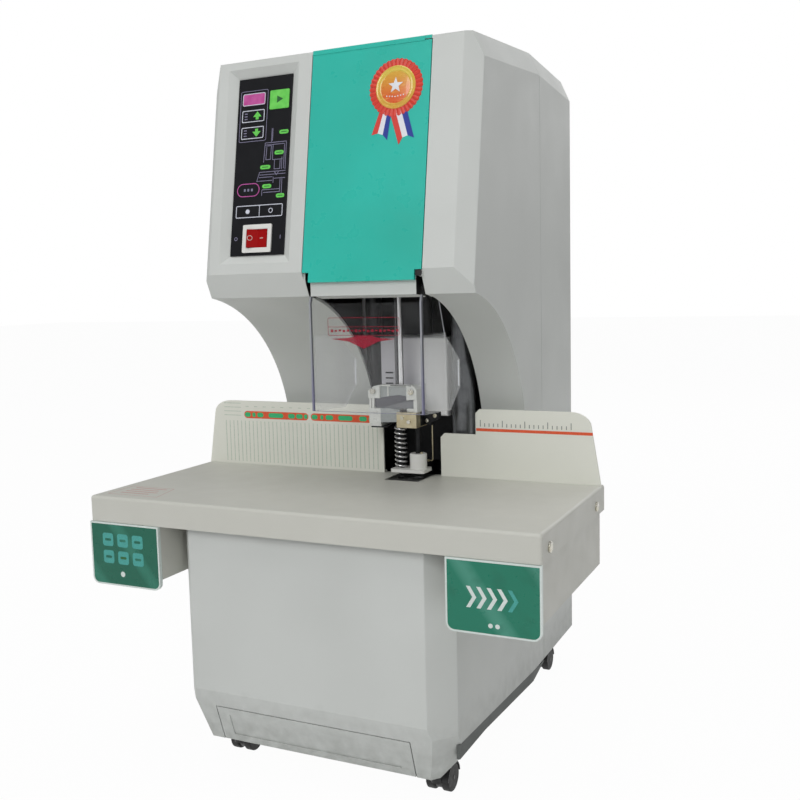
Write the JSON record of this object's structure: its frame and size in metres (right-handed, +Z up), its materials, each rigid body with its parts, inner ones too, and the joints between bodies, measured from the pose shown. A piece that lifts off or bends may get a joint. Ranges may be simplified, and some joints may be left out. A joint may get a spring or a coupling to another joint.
{
  "type": "document riveting machine",
  "caption": "Cabinet on casters with a leaning control head, an automatic paper drill and tube riveter behind a clear guard, a work table with fences, and pull-out drawers.",
  "frame": {"origin": "on the floor under the middle of the machine's overall box", "axes": "+X to the right of someone facing the machine, +Y to its back, +Z up"},
  "size_m": [0.4434, 0.395, 0.676],
  "materials": {
    "moulded_shell": "light grey textured moulding",
    "zinc_sheet": "zinc plated",
    "dark_steel": "blackened",
    "black_sheet": "matt black paint",
    "ground_steel": "ground",
    "painted_table": "warm grey powder coat",
    "painted_fence": "warm white powder coat",
    "plated_screw": "zinc plated",
    "black_fascia": "satin fascia film",
    "circuit_board": "green laminate",
    "white_plastic": "semi-gloss",
    "red_plastic": "translucent red moulding",
    "green_door": "glossy green",
    "clear_acrylic": "clear",
    "grey_cover": "satin light grey",
    "cast_aluminium": "as cast, machined faces",
    "brass_block": "machined",
    "motor_case": "black",
    "black_rubber": "matt",
    "black_plastic": "satin",
    "pink_key": "printed key",
    "green_key": "printed key",
    "green_plate": "glossy printed plate"
  },
  "bodies": {
    "cabinet": {"anvil": "ground_steel", "back_liner": "black_sheet", "base_front_shell": "moulded_shell", "base_plate": "zinc_sheet", "bed_plate": "dark_steel", "caster_mounts": "zinc_sheet", "chip_chute": "zinc_sheet", "control_board": "circuit_board", "control_panel": "black_fascia", "drill_motor": "motor_case", "drive_belt": "black_rubber", "frame_side_plates": "zinc_sheet", "head_plate": "dark_steel", "hinge_pins": "plated_screw", "left_fence": "painted_fence", "left_guide_column": "dark_steel", "left_housing": "painted_table", "lift_motor": "motor_case", "mains_inlet": "black_plastic", "power_supply": "zinc_sheet", "rear_shell": "moulded_shell", "right_fence": "painted_fence", "right_guide_column": "ground_steel", "right_housing": "painted_table", "sheet_screws": "plated_screw", "switch_bezel": "white_plastic", "tower_front_shell": "moulded_shell", "work_table": "painted_table"},
    "carriage": {"lift_saddle": "dark_steel", "saddle_cover": "grey_cover", "tool_head": "cast_aluminium", "head_screws": "plated_screw", "heater_block": "brass_block", "presser_spring": "ground_steel"},
    "lift_screw": {"lift_screw": "ground_steel"},
    "spindle": {"spindle": "ground_steel"},
    "presser": {"presser_plate": "white_plastic", "nylon_bush": "white_plastic"},
    "spindle_pulley": {"spindle_pulley": "cast_aluminium"},
    "motor_pulley": {"motor_pulley": "cast_aluminium"},
    "guard": {"guard": "clear_acrylic"},
    "service_door": {"service_door": "green_door"},
    "start_key": {"start_key": "green_key"},
    "reset_key": {"reset_key": "pink_key"},
    "up_key": {"up_key": "green_key"},
    "down_key": {"down_key": "green_key"},
    "power_rocker": {"power_rocker": "red_plastic"},
    "waste_drawer": {"waste_drawer": "moulded_shell"},
    "left_drawer": {"left_drawer_tray": "painted_table", "left_drawer_plate": "green_plate"},
    "right_drawer": {"right_drawer_tray": "painted_table", "right_drawer_plate": "green_plate"},
    "front_left_fork": {"front_left_fork": "black_plastic"},
    "front_left_wheels": {"front_left_wheels": "black_rubber"},
    "front_right_fork": {"front_right_fork": "black_plastic"},
    "front_right_wheels": {"front_right_wheels": "black_rubber"},
    "rear_left_fork": {"rear_left_fork": "black_plastic"},
    "rear_left_wheels": {"rear_left_wheels": "black_rubber"},
    "rear_right_fork": {"rear_right_fork": "black_plastic"},
    "rear_right_wheels": {"rear_right_wheels": "black_rubber"}
  },
  "joints": [
    {"name": "carriage_lift", "type": "slide", "parent": "cabinet", "child": "carriage", "axis": [0, 0, 1], "range_m": [-0.0037, 0.05]},
    {"name": "lift_screw_turn", "type": "hinge", "parent": "cabinet", "child": "lift_screw", "pos_m": [0.023, 0.048, 0.4], "axis": [0, 0, 1], "range_deg": [-270, 3605]},
    {"name": "spindle_spin", "type": "hinge", "parent": "carriage", "child": "spindle", "pos_m": [0.0215, -0.0185, 0.4], "axis": [0, 0, 1], "continuous": true},
    {"name": "spindle_pulley_spin", "type": "hinge", "parent": "cabinet", "child": "spindle_pulley", "pos_m": [0.0215, -0.0185, 0.49], "axis": [0, 0, 1], "continuous": true},
    {"name": "motor_pulley_spin", "type": "hinge", "parent": "cabinet", "child": "motor_pulley", "pos_m": [-0.055, -0.0185, 0.49], "axis": [0, 0, 1], "continuous": true},
    {"name": "presser_slide", "type": "slide", "parent": "carriage", "child": "presser", "axis": [0, 0, 1], "range_m": [0, 0.025], "stiffness_N_per_m": 300, "springref_m": -0.02, "deforming": ["presser_spring"]},
    {"name": "guard_swing", "type": "hinge", "parent": "cabinet", "child": "guard", "pos_m": [0.03, -0.1, 0.447], "axis": [-1, 0, 0], "range_deg": [0, 70]},
    {"name": "door_swing", "type": "hinge", "parent": "cabinet", "child": "service_door", "pos_m": [0.088, -0.09682, 0.56125], "axis": [0, 0.1696, 0.9855], "range_deg": [0, 110]},
    {"name": "rocker_tilt", "type": "hinge", "parent": "cabinet", "child": "power_rocker", "pos_m": [-0.0813, -0.10382, 0.49549], "axis": [0, 0.1696, 0.9855], "range_deg": [-18, 0]},
    {"name": "waste_drawer_slide", "type": "slide", "parent": "cabinet", "child": "waste_drawer", "axis": [0, -1, 0], "range_m": [0, 0.18]},
    {"name": "left_drawer_slide", "type": "slide", "parent": "cabinet", "child": "left_drawer", "axis": [0, -1, 0], "range_m": [0, 0.15]},
    {"name": "right_drawer_slide", "type": "slide", "parent": "cabinet", "child": "right_drawer", "axis": [0, -1, 0], "range_m": [0, 0.15]},
    {"name": "start_key_press", "type": "slide", "parent": "cabinet", "child": "start_key", "axis": [0, 0.9855, -0.1696], "range_m": [0, 0.0006], "stiffness_N_per_m": 400, "springref_m": -0.001},
    {"name": "reset_key_press", "type": "slide", "parent": "cabinet", "child": "reset_key", "axis": [0, 0.9855, -0.1696], "range_m": [0, 0.0006], "stiffness_N_per_m": 400, "springref_m": -0.001},
    {"name": "up_key_press", "type": "slide", "parent": "cabinet", "child": "up_key", "axis": [0, 0.9855, -0.1696], "range_m": [0, 0.0006], "stiffness_N_per_m": 400, "springref_m": -0.001},
    {"name": "down_key_press", "type": "slide", "parent": "cabinet", "child": "down_key", "axis": [0, 0.9855, -0.1696], "range_m": [0, 0.0006], "stiffness_N_per_m": 400, "springref_m": -0.001},
    {"name": "front_left_swivel", "type": "hinge", "parent": "cabinet", "child": "front_left_fork", "pos_m": [-0.104, -0.136, 0.025], "axis": [0, 0, 1], "continuous": true},
    {"name": "front_left_roll", "type": "hinge", "parent": "front_left_fork", "child": "front_left_wheels", "pos_m": [-0.104, -0.124, 0.0125], "axis": [1, 0, 0], "continuous": true},
    {"name": "front_right_swivel", "type": "hinge", "parent": "cabinet", "child": "front_right_fork", "pos_m": [0.104, -0.136, 0.025], "axis": [0, 0, 1], "continuous": true},
    {"name": "front_right_roll", "type": "hinge", "parent": "front_right_fork", "child": "front_right_wheels", "pos_m": [0.104, -0.124, 0.0125], "axis": [1, 0, 0], "continuous": true},
    {"name": "rear_left_swivel", "type": "hinge", "parent": "cabinet", "child": "rear_left_fork", "pos_m": [-0.104, 0.165, 0.025], "axis": [0, 0, 1], "continuous": true},
    {"name": "rear_left_roll", "type": "hinge", "parent": "rear_left_fork", "child": "rear_left_wheels", "pos_m": [-0.104, 0.177, 0.0125], "axis": [1, 0, 0], "continuous": true},
    {"name": "rear_right_swivel", "type": "hinge", "parent": "cabinet", "child": "rear_right_fork", "pos_m": [0.104, 0.165, 0.025], "axis": [0, 0, 1], "continuous": true},
    {"name": "rear_right_roll", "type": "hinge", "parent": "rear_right_fork", "child": "rear_right_wheels", "pos_m": [0.104, 0.177, 0.0125], "axis": [1, 0, 0], "continuous": true}
  ],
  "couplings": [
    {"joint": "lift_screw_turn", "follows": "carriage_lift", "rad_per_m": 1256.6},
    {"joint": "spindle_pulley_spin", "follows": "spindle_spin", "ratio": 1},
    {"joint": "motor_pulley_spin", "follows": "spindle_spin", "ratio": 1.5}
  ]
}
